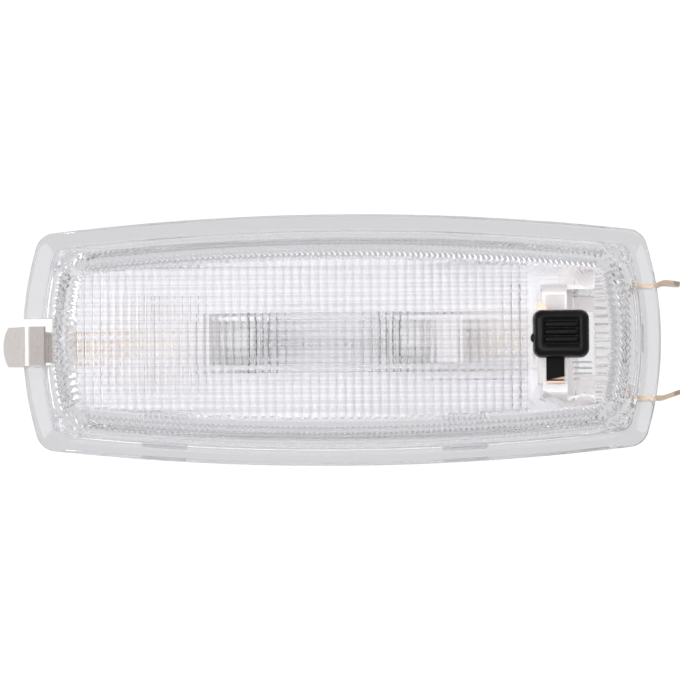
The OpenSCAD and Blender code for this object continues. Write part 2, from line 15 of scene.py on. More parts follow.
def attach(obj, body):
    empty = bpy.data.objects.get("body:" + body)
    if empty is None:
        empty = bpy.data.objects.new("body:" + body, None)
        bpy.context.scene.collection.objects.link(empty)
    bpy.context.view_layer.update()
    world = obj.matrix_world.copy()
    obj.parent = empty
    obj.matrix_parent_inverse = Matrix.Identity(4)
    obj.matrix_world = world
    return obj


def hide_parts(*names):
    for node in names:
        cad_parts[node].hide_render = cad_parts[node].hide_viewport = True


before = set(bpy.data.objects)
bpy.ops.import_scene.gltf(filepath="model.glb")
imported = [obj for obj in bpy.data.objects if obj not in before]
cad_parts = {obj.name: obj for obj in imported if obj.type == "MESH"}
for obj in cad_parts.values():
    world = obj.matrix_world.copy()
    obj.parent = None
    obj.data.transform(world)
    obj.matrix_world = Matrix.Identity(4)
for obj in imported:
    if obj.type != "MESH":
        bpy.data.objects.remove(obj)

log = logging.getLogger("interior_light")

MM = 0.001
# Two points closer than this count as one
SAME_POINT = 1e-7
# Shift that keeps the points of a grid off the points of an outline
OFF_GRID = 1e-4
WHITE = (1.0, 1.0, 1.0, 1.0)

Point2 = tuple[float, float]
Point3 = tuple[float, float, float]
Colour = tuple[float, float, float]
Line = tuple[Point2, Point2]
Rect = tuple[Point2, Point2]
Box = tuple[Point3, Point3]
Socket = bpy.types.NodeSocket
Feed = bpy.types.NodeSocket | float | tuple[float, ...]


class Body(Enum):
    """The two bodies that the pieces ride on."""

    HOUSING = "housing"
    SLIDER = "slider"


class Axis(Enum):
    """The three directions of the shared frame."""

    X = 0
    Y = 1
    Z = 2


class Work(Enum):
    """What a tool mesh does to a piece."""

    CUT = "DIFFERENCE"
    ADD = "UNION"


def polar(centre: Point2, radius: float, degrees: float) -> Point2:
    """The point at that angle on a circle."""
    angle = math.radians(degrees)
    return centre[0] + radius * math.cos(angle), centre[1] + radius * math.sin(angle)


def arc(centre: Point2, radius: float, start: float, end: float, steps: int) -> list[Point2]:
    """Points along an arc, both ends included."""
    return [polar(centre, radius, start + (end - start) * i / steps) for i in range(steps + 1)]


def smooth(value: float) -> float:
    """A smooth step from 0 to 1, flat at both ends."""
    t = min(max(value, 0.0), 1.0)
    return t * t * (3 - 2 * t)


@dataclass
class Shell:
    """Vertices in millimetres and faces that grow into one mesh."""

    vertices: list[Point3] = field(default_factory=list)
    faces: list[tuple[int, ...]] = field(default_factory=list)

    def ring(self, points: list[Point2], z: float) -> list[int]:
        """Adds one level outline.

        Args:
            points: The outline's points in order.
            z: Its height.

        Returns:
            The numbers of its vertices.
        """
        start = len(self.vertices)
        self.vertices += [(x, y, z) for x, y in points]
        return list(range(start, start + len(points)))

    def join(self, low: list[int], high: list[int]) -> None:
        """Skins two rings with the same number of points.

        Args:
            low: Vertex numbers of the first ring.
            high: Vertex numbers of the second ring.
        """
        count = len(low)
        for i in range(count):
            j = (i + 1) % count
            self.faces.append((low[i], low[j], high[j], high[i]))

    def stack(self, rings: list[list[int]]) -> None:
        """Skins a run of rings, each to the next."""
        for low, high in zip(rings, rings[1:]):
            self.join(low, high)

    def prism(self, one: list[Point3], two: list[Point3]) -> None:
        """Adds a closed prism between two equal outlines.

        Args:
            one: Points of the first outline.
            two: Points of the second outline, in the same order.
        """
        start = len(self.vertices)
        count = len(one)
        self.vertices += one + two
        near = list(range(start, start + count))
        far = list(range(start + count, start + 2 * count))
        self.join(near, far)
        self.faces += [tuple(reversed(near)), tuple(far)]

    def box(self, low: Point3, high: Point3) -> None:
        """Adds a closed box between its lowest and its highest corner."""
        level = [(low[0], low[1]), (high[0], low[1]), (high[0], high[1]), (low[0], high[1])]
        self.prism([(x, y, low[2]) for x, y in level], [(x, y, high[2]) for x, y in level])

    def patch(
        self,
        ring: list[int],
        lines: list[Line],
        points: list[Point2],
        height: Callable[[float, float], float],
    ) -> None:
        """Fills a ring with triangles that follow the given lines and points.

        Args:
            ring: Vertex numbers of the outline.
            lines: Pairs of points inside the outline that stay edges of the fill.
            points: Single points inside the outline.
            height: Function of x and y that gives the height of an inner point.
        """
        flat = [Vector(self.vertices[i][:2]) for i in ring]
        count = len(flat)
        edges = []
        for a, b in lines:
            edges.append((len(flat), len(flat) + 1))
            flat += [Vector(a), Vector(b)]
        flat += [Vector(p) for p in points]
        verts, _, faces, origin, _, _ = delaunay_2d_cdt(
            flat, edges, [list(range(count))], 1, SAME_POINT
        )
        numbers = []
        for v, came in zip(verts, origin):
            known = [k for k in came if k < count]
            if known:
                numbers.append(ring[known[0]])
            else:
                numbers.append(len(self.vertices))
                self.vertices.append((v.x, v.y, height(v.x, v.y)))
        self.faces += [tuple(numbers[i] for i in f) for f in faces]

    def mesh(self, name: str) -> bpy.types.Mesh:
        """Makes the mesh in metres, with its faces turned outwards.

        Args:
            name: Name of the mesh.

        Returns:
            The new mesh.
        """
        made = bpy.data.meshes.new(name)
        made.from_pydata([tuple(c * MM for c in v) for v in self.vertices], [], self.faces)
        work = bmesh.new()
        work.from_mesh(made)
        bmesh.ops.remove_doubles(work, verts=work.verts, dist=SAME_POINT)
        bmesh.ops.recalc_face_normals(work, faces=work.faces)
        work.to_mesh(made)
        work.free()
        return made


def soften(mesh: bpy.types.Mesh, sharp: float) -> None:
    """Shades a mesh smooth but for its edges over the given angle in degrees."""
    mesh.shade_smooth()
    mesh.set_sharp_from_angle(angle=math.radians(sharp))


def put(name: str, mesh: bpy.types.Mesh, sharp: float = 35.0) -> bpy.types.Object:
    """Links a mesh as an object and shades it smooth.

    Args:
        name: Name of the object.
        mesh: Its mesh.
        sharp: Angle in degrees over which an edge stays sharp.

    Returns:
        The new object.
    """
    piece = bpy.data.objects.new(name, mesh)
    bpy.context.scene.collection.objects.link(piece)
    soften(mesh, sharp)
    return piece


def combine(piece: bpy.types.Object, tool: bpy.types.Mesh, work: Work) -> None:
    """Cuts a tool mesh out of a piece, or joins it on, and keeps the result as its mesh.

    Args:
        piece: The object whose mesh changes.
        tool: Mesh in the same frame, used up here.
        work: Whether the tool cuts or is added.
    """
    other = bpy.data.objects.new("tool", tool)
    bpy.context.scene.collection.objects.link(other)
    step = piece.modifiers.new("step", "BOOLEAN")
    step.operation, step.object, step.solver = work.value, other, "EXACT"
    graph = bpy.context.evaluated_depsgraph_get()
    done = bpy.data.meshes.new_from_object(piece.evaluated_get(graph))
    piece.modifiers.clear()
    old, piece.data = piece.data, done
    done.name = old.name
    bpy.data.meshes.remove(old)
    bpy.data.objects.remove(other)
    bpy.data.meshes.remove(tool)


# Shader groups

def new_group(name: str, inputs: dict[str, tuple], outputs: dict[str, str]) -> bpy.types.NodeTree:
    """Makes a shader node group with typed sockets.

    Args:
        name: Name of the group.
        inputs: Socket name to its type and default value.
        outputs: Socket name to its type.

    Returns:
        The new group, with its input and output nodes named "in" and "out".
    """
    group = bpy.data.node_groups.new(name, "ShaderNodeTree")
    for label, (kind, value) in inputs.items():
        socket = group.interface.new_socket(name=label, in_out="INPUT", socket_type=kind)
        socket.default_value = value
    for label, kind in outputs.items():
        group.interface.new_socket(name=label, in_out="OUTPUT", socket_type=kind)
    group.nodes.new("NodeGroupInput").name = "in"
    group.nodes.new("NodeGroupOutput").name = "out"
    return group


def math_node(
    tree: bpy.types.NodeTree, how: str, a: Feed, b: Feed | None = None, clamp: bool = False
) -> Socket:
    """Adds a Math node.

    Args:
        tree: Tree that the node goes into.
        how: Blender's name of the operation.
        a: Socket or number for the first input.
        b: Socket or number for the second input, where it has one.
        clamp: Whether the result is kept between 0 and 1.

    Returns:
        The node's output socket.
    """
    node = tree.nodes.new("ShaderNodeMath")
    node.operation, node.use_clamp = how, clamp
    for socket, value in zip(node.inputs, (a, b)):
        if isinstance(value, (int, float)):
            socket.default_value = value
        elif value is not None:
            tree.links.new(value, socket)
    return node.outputs[0]


def mix_colour(tree: bpy.types.NodeTree, factor: Feed, a: Feed, b: Feed) -> Socket:
    """Adds a Mix node for colours.

    Args:
        tree: Tree that the node goes into.
        factor: Socket or number, 0 for the first colour and 1 for the second.
        a: Socket or colour for the first input.
        b: Socket or colour for the second input.

    Returns:
        The socket of the mixed colour.
    """
    node = tree.nodes.new("ShaderNodeMix")
    node.data_type = "RGBA"
    factor_place, first_place, second_place, result_place = 0, 6, 7, 2
    for index, value in ((factor_place, factor), (first_place, a), (second_place, b)):
        if isinstance(value, (int, float, tuple)):
            node.inputs[index].default_value = value
        else:
            tree.links.new(value, node.inputs[index])
    return node.outputs[result_place]


def rgba(colour: Colour, shade: float = 1.0) -> tuple[float, ...]:
    """A colour times a shade, with full alpha."""
    return (*[c * shade for c in colour], 1.0)


def handling_group() -> bpy.types.NodeTree:
    """Soft blotches and fine scratches that touched metal and plastic share.

    Returns:
        The group, whose two masks lie round 0.
    """
    blotch_share, middle = 0.25, 0.5
    group = new_group(
        "handling",
        {
            "Scale": ("NodeSocketFloat", 600.0),
            "Stretch": ("NodeSocketVector", (1.0, 1.0, 1.0)),
            "Amount": ("NodeSocketFloat", 0.5),
        },
        {"Blotch": "NodeSocketFloat", "Scratch": "NodeSocketFloat"},
    )
    nodes, links = group.nodes, group.links
    scale = nodes["in"].outputs["Scale"]
    place = nodes.new("ShaderNodeTexCoord")
    stretch = nodes.new("ShaderNodeVectorMath")
    stretch.operation = "MULTIPLY"
    links.new(place.outputs["Object"], stretch.inputs[0])
    links.new(nodes["in"].outputs["Stretch"], stretch.inputs[1])
    blotch = nodes.new("ShaderNodeTexNoise")
    blotch.inputs["Detail"].default_value = 4
    links.new(place.outputs["Object"], blotch.inputs["Vector"])
    links.new(math_node(group, "MULTIPLY", scale, blotch_share), blotch.inputs["Scale"])
    scratch = nodes.new("ShaderNodeTexNoise")
    scratch.inputs["Detail"].default_value = 6
    scratch.inputs["Roughness"].default_value = 0.7
    links.new(stretch.outputs[0], scratch.inputs["Vector"])
    links.new(scale, scratch.inputs["Scale"])
    for label, source in (("Blotch", blotch), ("Scratch", scratch)):
        centred = math_node(group, "SUBTRACT", source.outputs["Fac"], middle)
        amount = math_node(group, "MULTIPLY", centred, nodes["in"].outputs["Amount"])
        links.new(amount, nodes["out"].inputs[label])
    return group


def edge_group() -> bpy.types.NodeTree:
    """A mask that is 1 on convex edges and 0 on flat places.

    Returns:
        The group.
    """
    group = new_group(
        "edge_wear",
        {"Low": ("NodeSocketFloat", 0.52), "High": ("NodeSocketFloat", 0.62)},
        {"Edge": "NodeSocketFloat"},
    )
    nodes, links = group.nodes, group.links
    shape = nodes.new("ShaderNodeNewGeometry")
    reach = nodes.new("ShaderNodeMapRange")
    links.new(shape.outputs["Pointiness"], reach.inputs["Value"])
    links.new(nodes["in"].outputs["Low"], reach.inputs["From Min"])
    links.new(nodes["in"].outputs["High"], reach.inputs["From Max"])
    links.new(reach.outputs["Result"], nodes["out"].inputs["Edge"])
    return group


@dataclass
class Effects:
    """The shader groups that the finishes share."""

    handling: bpy.types.NodeTree = field(default_factory=handling_group)
    edges: bpy.types.NodeTree = field(default_factory=edge_group)

    def place(
        self, tree: bpy.types.NodeTree, group: bpy.types.NodeTree, **values: Feed
    ) -> bpy.types.Node:
        """Adds a group node to a material.

        Args:
            tree: Tree of the material.
            group: One of the shared groups.
            values: Input name to its value.

        Returns:
            The new node.
        """
        node = tree.nodes.new("ShaderNodeGroup")
        node.node_tree = group
        for label, value in values.items():
            node.inputs[label].default_value = value
        return node

    def worn(
        self,
        tree: bpy.types.NodeTree,
        blotch: Socket,
        colours: tuple[Colour, Colour],
        rub: float,
        spread: float,
        shade: float,
    ) -> Socket:
        """Mixes the colour of a touched surface, rubbed at its edges and blotched.

        Args:
            tree: Tree of the material.
            blotch: Mask of the blotches.
            colours: The plain colour and the one of rubbed edges.
            rub: How far a rubbed edge takes its own colour.
            spread: How much of the blotches lies over the whole surface.
            shade: Brightness of the blotches beside the plain colour.

        Returns:
            The socket of the mixed colour.
        """
        plain, rubbed = colours
        rim = self.place(tree, self.edges)
        share = math_node(tree, "MULTIPLY", rim.outputs["Edge"], rub)
        base = mix_colour(tree, share, rgba(plain), rgba(rubbed))
        share = math_node(tree, "ADD", blotch, spread, clamp=True)
        return mix_colour(tree, share, base, rgba(plain, shade))


def new_material(name: str) -> tuple[bpy.types.Material, bpy.types.Node]:
    """Makes a node material.

    Args:
        name: Name of the material.

    Returns:
        The material and its Principled node.
    """
    material = bpy.data.materials.new(name)
    material.use_nodes = True
    return material, material.node_tree.nodes["Principled BSDF"]


def vary_roughness(
    tree: bpy.types.NodeTree, skin: bpy.types.Node, mask: Socket, gain: float, middle: float
) -> None:
    """Feeds Roughness with a middle value that a mask round 0 raises and lowers."""
    change = math_node(tree, "MULTIPLY", mask, gain)
    tree.links.new(math_node(tree, "ADD", change, middle, clamp=True), skin.inputs["Roughness"])


def add_relief(
    tree: bpy.types.NodeTree, skin: bpy.types.Node, mask: Socket, strength: float, depth: float
) -> None:
    """Feeds Normal with a bump.

    Args:
        tree: Tree of the material.
        skin: Its Principled node.
        mask: Mask that gives the height.
        strength: Strength of the bump.
        depth: Its depth in metres.
    """
    bump = tree.nodes.new("ShaderNodeBump")
    bump.inputs["Strength"].default_value = strength
    bump.inputs["Distance"].default_value = depth
    tree.links.new(mask, bump.inputs["Height"])
    tree.links.new(bump.outputs["Normal"], skin.inputs["Normal"])


@dataclass(frozen=True)
class ClearPlastic:
    """Water-clear moulding or glass that lets lamplight through."""

    name: str
    tint: Colour = (0.975, 0.975, 0.99)
    ior: float = 1.49
    roughness: float = 0.03
    shade: Colour = (0.985, 0.985, 0.99)
    ripple: float = 0.02
    smudge_scale: float = 180.0
    smudge_gain: float = 0.05
    smudge_shade: float = 0.985
    depth: float = 0.0004

    def make(self, effects: Effects) -> bpy.types.Material:
        """Builds the material, with faint sink marks and smudges.

        Args:
            effects: The shared shader groups.

        Returns:
            The new material.
        """
        material, skin = new_material(self.name)
        tree = material.node_tree
        skin.inputs["Transmission Weight"].default_value = 1.0
        skin.inputs["IOR"].default_value = self.ior
        touch = effects.place(tree, effects.handling, Scale=self.smudge_scale, Amount=1.0)
        blotch = touch.outputs["Blotch"]
        vary_roughness(tree, skin, blotch, self.smudge_gain, self.roughness)
        share = math_node(tree, "ADD", blotch, 0.5)
        colour = mix_colour(tree, share, rgba(self.tint), rgba(self.tint, self.smudge_shade))
        tree.links.new(colour, skin.inputs["Base Color"])
        add_relief(tree, skin, blotch, self.ripple, self.depth)
        through = tree.nodes.new("ShaderNodeBsdfTransparent")
        through.inputs["Color"].default_value = rgba(self.shade)
        path = tree.nodes.new("ShaderNodeLightPath")
        both = tree.nodes.new("ShaderNodeMixShader")
        tree.links.new(path.outputs["Is Shadow Ray"], both.inputs[0])
        tree.links.new(skin.outputs[0], both.inputs[1])
        tree.links.new(through.outputs[0], both.inputs[2])
        tree.links.new(both.outputs[0], tree.nodes["Material Output"].inputs["Surface"])
        return material


@dataclass(frozen=True)
class SheetMetal:
    """Rolled or plated metal with grain along one direction and a cut edge.

    Faces that look along the edge axis and lie within the given span on the span axis, in
    metres, take the edge colour: cut edges, and on the spring clip its stem, as painted shade.
    """

    name: str
    face: Colour
    edge: Colour
    roughness: float = 0.28
    grain: Point3 = (0.06, 1.0, 1.0)
    edge_axis: Axis | None = None
    edge_and_shade_span: Point2 = (-1.0, 1.0)
    span_axis: Axis = Axis.Z
    metallic: float = 1.0
    bump: float = 0.05
    rub: float = 0.6
    scale: float = 900.0
    blotch_spread: float = 0.3
    blotch_shade: float = 0.82
    scratch_gain: float = 0.35
    depth: float = 0.0002
    cut_and_shade_facing: float = 0.45
    cut_and_shade_strength: float = 0.85

    def cut_and_shade_mask(self, tree: bpy.types.NodeTree) -> Socket:
        """Picks the faces for the edge colour: cut edges, and painted shade on the clip's stem.

        Args:
            tree: Tree of the material.

        Returns:
            The socket of the mask.
        """
        # Also picks the spring clip's stem, where the edge colour is painted shade.
        shape = tree.nodes.new("ShaderNodeNewGeometry")
        parts = tree.nodes.new("ShaderNodeSeparateXYZ")
        tree.links.new(shape.outputs["Normal"], parts.inputs[0])
        facing = math_node(tree, "ABSOLUTE", parts.outputs[self.edge_axis.value])
        cut = math_node(tree, "GREATER_THAN", facing, self.cut_and_shade_facing)
        place = tree.nodes.new("ShaderNodeTexCoord")
        spot = tree.nodes.new("ShaderNodeSeparateXYZ")
        tree.links.new(place.outputs["Object"], spot.inputs[0])
        along = spot.outputs[self.span_axis.value]
        above = math_node(tree, "GREATER_THAN", along, self.edge_and_shade_span[0])
        below = math_node(tree, "LESS_THAN", along, self.edge_and_shade_span[1])
        cut = math_node(tree, "MULTIPLY", cut, math_node(tree, "MULTIPLY", above, below))
        return math_node(tree, "MULTIPLY", cut, self.cut_and_shade_strength)

    def make(self, effects: Effects) -> bpy.types.Material:
        """Builds the material; cut edges and the clip stem's painted shade lie over all wear.

        Args:
            effects: The shared shader groups.

        Returns:
            The new material.
        """
        material, skin = new_material(self.name)
        tree = material.node_tree
        skin.inputs["Metallic"].default_value = self.metallic
        touch = effects.place(
            tree, effects.handling, Scale=self.scale, Stretch=self.grain, Amount=1.0
        )
        blotch, scratch = touch.outputs["Blotch"], touch.outputs["Scratch"]
        colour = effects.worn(
            tree, blotch, (self.face, self.edge), self.rub, self.blotch_spread, self.blotch_shade
        )
        if self.edge_axis is not None:
            colour = mix_colour(tree, self.cut_and_shade_mask(tree), colour, rgba(self.edge))
        tree.links.new(colour, skin.inputs["Base Color"])
        vary_roughness(tree, skin, scratch, self.scratch_gain, self.roughness)
        add_relief(tree, skin, scratch, self.bump, self.depth)
        return material


@dataclass(frozen=True)
class MouldedPlastic:
    """Opaque moulded plastic with a fine grain and rubbed edges."""

    name: str
    colour: Colour
    rubbed: Colour
    roughness: float = 0.4
    subsurface: float = 0.0
    bump: float = 0.08
    gloss: float = 0.5
    scale: float = 1500.0
    rub: float = 0.5
    blotch_spread: float = 0.2
    blotch_shade: float = 0.85
    scratch_gain: float = 0.2
    depth: float = 0.0001
    light_depth: float = 0.001

    def make(self, effects: Effects) -> bpy.types.Material:
        """Builds the material.

        Args:
            effects: The shared shader groups.

        Returns:
            The new material.
        """
        material, skin = new_material(self.name)
        tree = material.node_tree
        skin.inputs["Subsurface Weight"].default_value = self.subsurface
        skin.inputs["Subsurface Scale"].default_value = self.light_depth
        skin.inputs["Specular IOR Level"].default_value = self.gloss
        touch = effects.place(tree, effects.handling, Scale=self.scale, Amount=1.0)
        blotch, scratch = touch.outputs["Blotch"], touch.outputs["Scratch"]
        colour = effects.worn(
            tree, blotch, (self.colour, self.rubbed), self.rub, self.blotch_spread, self.blotch_shade
        )
        tree.links.new(colour, skin.inputs["Base Color"])
        vary_roughness(tree, skin, scratch, self.scratch_gain, self.roughness)
        add_relief(tree, skin, scratch, self.bump, self.depth)
        return material


# Lens body

@dataclass
class LensOutline:
    """The bowed outline that every level of the lens body follows, in millimetres."""

    length: float = 114.0
    width: float = 45.0
    side_bow: float = 3.7
    end_bow: float = 4.4
    side_gain: float = 1.4
    gain_start: float = 2.7
    skirt_inset: float = 5.3

    def __post_init__(self) -> None:
        """Works out the two arcs."""
        self.side_r = ((self.length / 2) ** 2 + self.side_bow**2) / (2 * self.side_bow)
        self.end_r = ((self.width / 2) ** 2 + self.end_bow**2) / (2 * self.end_bow)
        self.side_c = (0.0, self.width / 2 - self.side_r)
        self.end_c = (self.length / 2 - self.end_r, 0.0)

    def side_in(self, inset: float) -> float:
        """An inset as it is along the sides, where the skirt and dome stand further out."""
        share = (inset - self.gain_start) / (self.skirt_inset - self.gain_start)
        return inset - self.side_gain * min(max(share, 0.0), 1.0)

    def corner(self, inset: float, radius: float) -> Point2:
        """Finds the centre of the corner's circle, which touches both arcs.

        Args:
            inset: Distance inside the flange's edge.
            radius: Corner radius.

        Returns:
            The centre in the upper right quarter.
        """
        r0, r1 = self.end_r - inset - radius, self.side_r - self.side_in(inset) - radius
        dx, dy = self.side_c[0] - self.end_c[0], self.side_c[1] - self.end_c[1]
        d = math.hypot(dx, dy)
        ux, uy = dx / d, dy / d
        a = (r0 * r0 - r1 * r1 + d * d) / (2 * d)
        h = math.sqrt(max(r0 * r0 - a * a, 0.0))
        one = (self.end_c[0] + a * ux - h * uy, self.end_c[1] + a * uy + h * ux)
        two = (self.end_c[0] + a * ux + h * uy, self.end_c[1] + a * uy - h * ux)
        return one if one[1] > 0 else two

    def ring(self, inset: float, radius: float, steps: tuple[int, int, int]) -> list[Point2]:
        """The closed outline, counterclockwise from the right end's middle.

        Args:
            inset: Distance inside the flange's edge.
            radius: Corner radius.
            steps: Steps on the end, the corner and the side of one quarter.

        Returns:
            Four times the sum of the steps as points.
        """
        c = self.corner(inset, radius)
        a = math.degrees(math.atan2(c[1] - self.end_c[1], c[0] - self.end_c[0]))
        b = math.degrees(math.atan2(c[1] - self.side_c[1], c[0] - self.side_c[0]))
        quarter = arc(self.end_c, self.end_r - inset, 0, a, steps[0])[:-1]
        quarter += arc(c, radius, a, b, steps[1])[:-1]
        quarter += arc(self.side_c, self.side_r - self.side_in(inset), b, 90, steps[2])[:-1]
        top = [(0.0, self.width / 2 - self.side_in(inset))]
        half = quarter + top + [(-x, y) for x, y in reversed(quarter[1:])]
        return half + [(-quarter[0][0], 0.0)] + [(x, -y) for x, y in reversed(half[1:])]


def crossing(ring: list[Point2], axis: Axis, value: float) -> Point2 | None:
    """Where a straight line along an axis enters and leaves a ring.

    Args:
        ring: Closed outline.
        axis: Direction of the line, X or Y.
        value: Place of the line on the other axis.

    Returns:
        The lowest and highest coordinate along the axis, or None if it misses.
    """
    along, across = (0, 1) if axis is Axis.X else (1, 0)
    found = []
    for p, q in zip(ring, ring[1:] + ring[:1]):
        if (p[across] - value) * (q[across] - value) < 0:
            t = (value - p[across]) / (q[across] - p[across])
            found.append(p[along] + t * (q[along] - p[along]))
    return (min(found), max(found)) if len(found) > 1 else None


@dataclass
class LensBody:
    """Clear moulding: flange, dome, flutes, ribs, switch recess and skirt.

    All sizes are in millimetres, in the shared frame. A box is given by its lowest and its
    highest corner.
    """

    outline: LensOutline = field(default_factory=LensOutline)
    steps: tuple[int, int, int] = (34, 16, 188)
    sharp: float = 32.0
    seat_z: float = 9.0
    face_z: float = 18.5
    ceiling_z: float = 16.8
    recess_z: float = 17.9
    clear_z: float = 20.0
    cavity_inset: float = 6.7
    outer_corner: float = 3.6
    cavity_corner: float = 4.2
    least_corner: float = 1.2
    shoulder_corner: float = 11.0

    flute_pitch: float = 1.55
    flute_depth: Point2 = (0.3, 0.06)
    end_flute_depth: float = 0.3
    flute_steps: int = 6
    flute_columns: int = 380
    flute_foot: float = 0.02
    fluted: Point2 = (-47.3, 32.8)
    end_fluted: float = 44.8
    groove_pitch: float = 1.55
    groove_depth: float = 0.05
    groove_half: float = 0.34
    groove_lines_at: tuple[float, ...] = (-0.35, -0.2, 0.0, 0.2, 0.35)
    grooves_each_way: int = 8
    rib_depth: float = 0.3
    least_rib: float = 0.001
    rib_wave: tuple[float, ...] = (0.0, 0.5, 1.0, 0.5)
    end_rib_gain: float = 0.4
    end_rib_start: float = 44.0
    end_rib_run: float = 4.0

    clip_notch: Rect = ((-62.0, -4.2), (-51.2, 4.2))
    clip_window: Box = ((-54.0, -3.7, 0.0), (-48.0, 2.3, 2.0))
    blade_slots: tuple[Box, Box] = (
        ((49.0, 8.7, 0.0), (53.0, 9.9, 7.1)),
        ((49.0, -11.2, 0.0), (53.0, -10.0, 7.1)),
    )
    base_windows: tuple[Box, Box] = (
        ((42.4, -17.0, 3.9), (47.6, -12.2, 5.7)),
        ((42.4, 12.2, 3.9), (47.6, 17.0, 5.7)),
    )
    recess: Rect = ((33.2, -11.0), (44.5, 10.8))
    switch_slot: Box = ((36.1, -8.5, 15.9), (39.5, 7.4, 18.4))
    marks: tuple[float, ...] = (-7.55, -6.6, -5.6, -4.6, 7.35, 8.0)
    mark_span: Point2 = (40.8, 44.2)
    mark_half: float = 0.25
    mark_depth: float = 0.25
    mark_rise: float = 0.1

    guides: tuple[Box, Box] = (
        ((33.7, -10.4, 13.9), (34.5, 9.0, 16.9)),
        ((41.1, -10.4, 13.9), (41.9, 9.0, 16.9)),
    )
    switch_stop: Box = ((36.2, 10.3, 14.6), (39.4, 10.7, 16.9))
    hook: tuple[Point2, ...] = ((50.9, 3.8), (51.6, 3.8), (53.4, 5.6), (53.4, 6.9), (50.9, 6.9))
    hook_half: float = 2.5
    lug: tuple[Point2, ...] = ((-0.4, 3.3), (0.1, 3.3), (0.5, 4.5), (-0.4, 4.5))
    lug_half: float = 2.0
    lug_places: Point2 = (-32.0, 22.0)

    def rings(self, shell: Shell, section: list[Point2], corner: float) -> list[list[int]]:
        """Adds one ring for each level of a section.

        Args:
            shell: Shell that the rings go into.
            section: Inset and height of each level.
            corner: Corner radius at the flange's edge, which shrinks inwards.

        Returns:
            The vertex numbers of each ring.
        """
        made = []
        for inset, z in section:
            radius = max(corner - inset / 3, self.least_corner)
            made.append(shell.ring(self.outline.ring(inset, radius, self.steps), z))
        return made

    def ribbed(self, shell: Shell, inset: float, z: float, depth: float) -> list[int]:
        """Adds one ring of the shoulder, with ribs four points apart, deeper at both ends.

        The corners of these rings share one centre, so that the ribs run straight down.

        Args:
            shell: Shell that the ring goes into.
            inset: Distance inside the flange's edge.
            z: Height of the ring.
            depth: How far the ribs reach inwards.

        Returns:
            The ring's vertex numbers.
        """
        deep = max(depth, self.least_rib)
        corner = self.shoulder_corner - inset
        outer = self.outline.ring(inset, corner, self.steps)
        inner = self.outline.ring(inset + deep, corner - deep, self.steps)
        points = []
        for i, (p, q) in enumerate(zip(outer, inner)):
            end = smooth((abs(p[0]) - self.end_rib_start) / self.end_rib_run)
            reach = self.rib_wave[i % len(self.rib_wave)] * (1 + self.end_rib_gain * end)
            points.append((p[0] + (q[0] - p[0]) * reach, p[1] + (q[1] - p[1]) * reach))
        return shell.ring(points, z)

    def inner_rings(self, shell: Shell) -> list[list[int]]:
        """Adds the skirt's inside and the ribbed shoulder, from the back to the ceiling.

        Args:
            shell: Shell that the rings go into.

        Returns:
            The vertex numbers of each ring.
        """
        inset = self.cavity_inset
        section = [(inset + 0.1, 0.55), (inset, 0.7), (inset, 1.6)]
        made = self.rings(shell, section, self.cavity_corner)
        made += [self.ribbed(shell, inset, z, 0.0) for z in (5.5, 9.5, 12.6)]
        # Inset, height and share of the ribs' depth
        slope = [(6.72, 13.3, 0.0), (6.78, 13.9, 0.7), (6.95, 14.6, 1.0), (7.5, 15.4, 1.0)]
        slope += [(8.3, 16.1, 1.0), (9.1, 16.6, 0.8), (9.6, self.ceiling_z, 0.0)]
        made += [self.ribbed(shell, i, z, self.rib_depth * d) for i, z, d in slope]
        return made

    def outer_rings(self, shell: Shell) -> list[list[int]]:
        """Adds the outside, from the back up to the face.

        Args:
            shell: Shell that the rings go into.

        Returns:
            The vertex numbers of each ring.
        """
        s = self.seat_z
        inset = self.outline.skirt_inset
        # Skirt
        section = [(inset + 0.15, 0.55), (inset, 0.75), (inset, 4.5), (inset, s - 0.3)]
        section += [(inset - 0.09, s - 0.09), (inset - 0.3, s)]
        # Flange with its rounded edge
        section += [(0.5, s), (0.2, s + 0.06), (0.05, s + 0.2), (0.0, s + 0.5)]
        section += arc((1.1, s + 1.2), 1.1, 180, 90, 8)
        # Dome's foot and shoulder
        section += arc((3.1, s + 3.1), 0.6, -90, -20, 5)
        section += arc((9.4, s + 4.9), 4.6, 162, 90, 14)
        return self.rings(shell, section, self.outer_corner)

    def wave(self, place: float, start: float) -> float:
        """Height of one set of flutes, from 0 between two flutes to 1 in a flute's middle."""
        u = (place - start) / self.flute_pitch % 1.0
        return 1 - (2 * u - 1) ** 2

    def ceiling_height(self, x: float, y: float) -> float:
        """Height of the ceiling, with crossed flutes, and lengthwise ones at the end.

        Args:
            x: Place along the lens.
            y: Place across it.

        Returns:
            The height there.
        """
        lengthwise = self.wave(y, self.flute_pitch / 2)
        foot = self.ceiling_z + self.flute_foot
        if x < self.fluted[1]:
            crossed = self.flute_depth[0] * self.wave(x, self.fluted[0])
            return foot + crossed + self.flute_depth[1] * lengthwise
        if x > self.end_fluted:
            return foot + self.end_flute_depth * lengthwise
        return foot

    def groove_height(self, _: float, y: float) -> float:
        """Height of the finely grooved outer face."""
        u = abs((y / self.groove_pitch + 0.5) % 1.0 - 0.5) * self.groove_pitch
        return self.face_z - self.groove_depth * max(0.0, 1 - (u / self.groove_half) ** 2)

    def ceiling_points(self, ring: list[Point2]) -> list[Point2]:
        """Lays out the grid over the ceiling that carries the flutes' section.

        Args:
            ring: The ceiling's outline.

        Returns:
            The points inside it.
        """
        step = self.flute_pitch / self.flute_steps
        left, right = self.fluted[1], self.end_fluted
        band, margin, narrowest = 0.1, 0.2, 2.0
        columns = []
        for i in range(-self.flute_steps, self.flute_columns):
            x = self.fluted[0] + (i + OFF_GRID) * step
            if x < left - band or x > right + band:
                columns.append(x)
